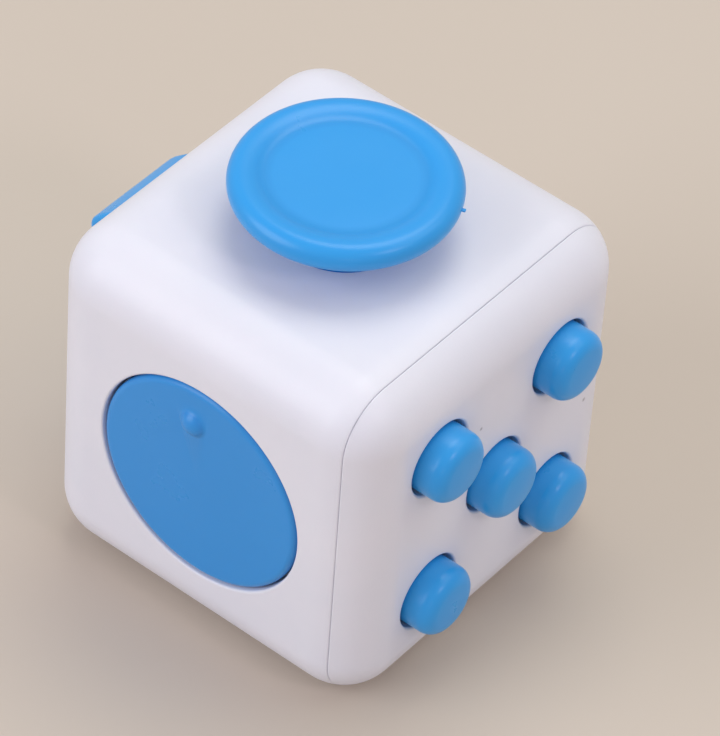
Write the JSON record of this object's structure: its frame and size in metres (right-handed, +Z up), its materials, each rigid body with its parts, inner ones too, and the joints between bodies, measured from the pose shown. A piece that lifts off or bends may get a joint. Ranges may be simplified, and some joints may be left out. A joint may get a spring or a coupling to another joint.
{
  "type": "fidget cube",
  "caption": "Rounded white desk cube with push buttons, a thumb joystick, a spinning dial, a flip rocker, gear wheels, a roller ball and a thumb dish.",
  "frame": {"origin": "centre of the flat base that the cube rests on", "axes": "+Z up through the joystick face, +X out of the push-button lid, -Y out of the dial face, +Y out of the gear and ball face, -X out of the rocker face"},
  "size_m": [0.0411, 0.0355, 0.0385],
  "materials": {
    "white_shell": "satin moulded ABS, cool white",
    "blue_plastic": "satin moulded ABS, sky blue",
    "inner_plastic": "plain moulded acetal",
    "clear_rubber": "milky silicone",
    "spring_steel": "spring steel",
    "zinc_screw": "bright zinc plate",
    "polished_steel": "polished",
    "machined_steel": "turned and tumbled"
  },
  "bodies": {
    "cube_body": {"main_shell": "white_shell", "button_lid": "white_shell", "button_backplate": "inner_plastic", "backplate_screws": "zinc_screw", "snap_dome_upper_left": "spring_steel", "snap_dome_centre": "spring_steel", "snap_dome_lower_right": "spring_steel", "rubber_cone_upper_right": "clear_rubber", "rubber_cone_lower_left": "clear_rubber", "joystick_housing": "inner_plastic", "joystick_spring": "spring_steel", "joystick_screws": "zinc_screw", "rocker_pin": "polished_steel", "rocker_spring": "spring_steel", "rocker_spring_screws": "zinc_screw", "gear_axle": "polished_steel", "ball_spring": "spring_steel", "ball_retainer": "inner_plastic", "ball_retainer_screws": "zinc_screw"},
    "joystick_gimbal": {"gimbal_ring": "inner_plastic"},
    "joystick": {"joystick_cap": "blue_plastic", "joystick_stem": "blue_plastic", "joystick_skirt": "blue_plastic", "joystick_pin": "polished_steel"},
    "dial": {"spin_dial": "blue_plastic", "dial_washer": "zinc_screw", "dial_screw": "zinc_screw"},
    "push_upper_left": {"button_upper_left": "blue_plastic"},
    "push_upper_right": {"button_upper_right": "blue_plastic"},
    "push_centre": {"button_centre": "blue_plastic"},
    "push_lower_left": {"button_lower_left": "blue_plastic"},
    "push_lower_right": {"button_lower_right": "blue_plastic"},
    "flip_rocker": {"rocker": "blue_plastic"},
    "gear_left": {"gear_wheel_left": "machined_steel"},
    "gear_middle": {"gear_wheel_middle": "machined_steel"},
    "gear_right": {"gear_wheel_right": "machined_steel"},
    "ball_carrier": {"ball_cup": "inner_plastic"},
    "ball": {"roller_ball": "polished_steel"}
  },
  "joints": [
    {"name": "joystick_tilt_x", "type": "hinge", "parent": "cube_body", "child": "joystick_gimbal", "pos_m": [0, 0, 0.028], "axis": [1, 0, 0], "range_deg": [-12, 12], "stiffness_Nm_per_rad": 0.02, "deforming": ["joystick_spring"]},
    {"name": "joystick_tilt_y", "type": "hinge", "parent": "joystick_gimbal", "child": "joystick", "pos_m": [0, 0, 0.028], "axis": [0, 1, 0], "range_deg": [-12, 12], "stiffness_Nm_per_rad": 0.02, "deforming": ["joystick_spring"]},
    {"name": "dial_spin", "type": "hinge", "parent": "cube_body", "child": "dial", "pos_m": [0, -0.0165, 0.0165], "axis": [0, -1, 0], "continuous": true},
    {"name": "button_upper_left_press", "type": "slide", "parent": "cube_body", "child": "push_upper_left", "axis": [-1, 0, 0], "range_m": [0, 0.0012], "stiffness_N_per_m": 900, "deforming": ["snap_dome_upper_left"]},
    {"name": "button_upper_right_press", "type": "slide", "parent": "cube_body", "child": "push_upper_right", "axis": [-1, 0, 0], "range_m": [0, 0.0012], "stiffness_N_per_m": 500, "deforming": ["rubber_cone_upper_right"]},
    {"name": "button_centre_press", "type": "slide", "parent": "cube_body", "child": "push_centre", "axis": [-1, 0, 0], "range_m": [0, 0.0012], "stiffness_N_per_m": 900, "deforming": ["snap_dome_centre"]},
    {"name": "button_lower_left_press", "type": "slide", "parent": "cube_body", "child": "push_lower_left", "axis": [-1, 0, 0], "range_m": [0, 0.0012], "stiffness_N_per_m": 500, "deforming": ["rubber_cone_lower_left"]},
    {"name": "button_lower_right_press", "type": "slide", "parent": "cube_body", "child": "push_lower_right", "axis": [-1, 0, 0], "range_m": [0, 0.0012], "stiffness_N_per_m": 900, "deforming": ["snap_dome_lower_right"]},
    {"name": "rocker_flip", "type": "hinge", "parent": "cube_body", "child": "flip_rocker", "pos_m": [-0.0136, 0, 0.0165], "axis": [0, 1, 0], "range_deg": [0, 32], "deforming": ["rocker_spring"]},
    {"name": "gear_left_spin", "type": "hinge", "parent": "cube_body", "child": "gear_left", "pos_m": [0.0029, 0.0129, 0.0105], "axis": [1, 0, 0], "continuous": true},
    {"name": "gear_middle_spin", "type": "hinge", "parent": "cube_body", "child": "gear_middle", "pos_m": [0, 0.0129, 0.0105], "axis": [1, 0, 0], "continuous": true},
    {"name": "gear_right_spin", "type": "hinge", "parent": "cube_body", "child": "gear_right", "pos_m": [-0.0029, 0.0129, 0.0105], "axis": [1, 0, 0], "continuous": true},
    {"name": "ball_press", "type": "slide", "parent": "cube_body", "child": "ball_carrier", "axis": [0, -1, 0], "range_m": [0, 0.00075], "stiffness_N_per_m": 600, "deforming": ["ball_spring"]},
    {"name": "ball_roll", "type": "hinge", "parent": "ball_carrier", "child": "ball", "pos_m": [0, 0.0147, 0.0228], "axis": [1, 0, 0], "continuous": true}
  ]
}
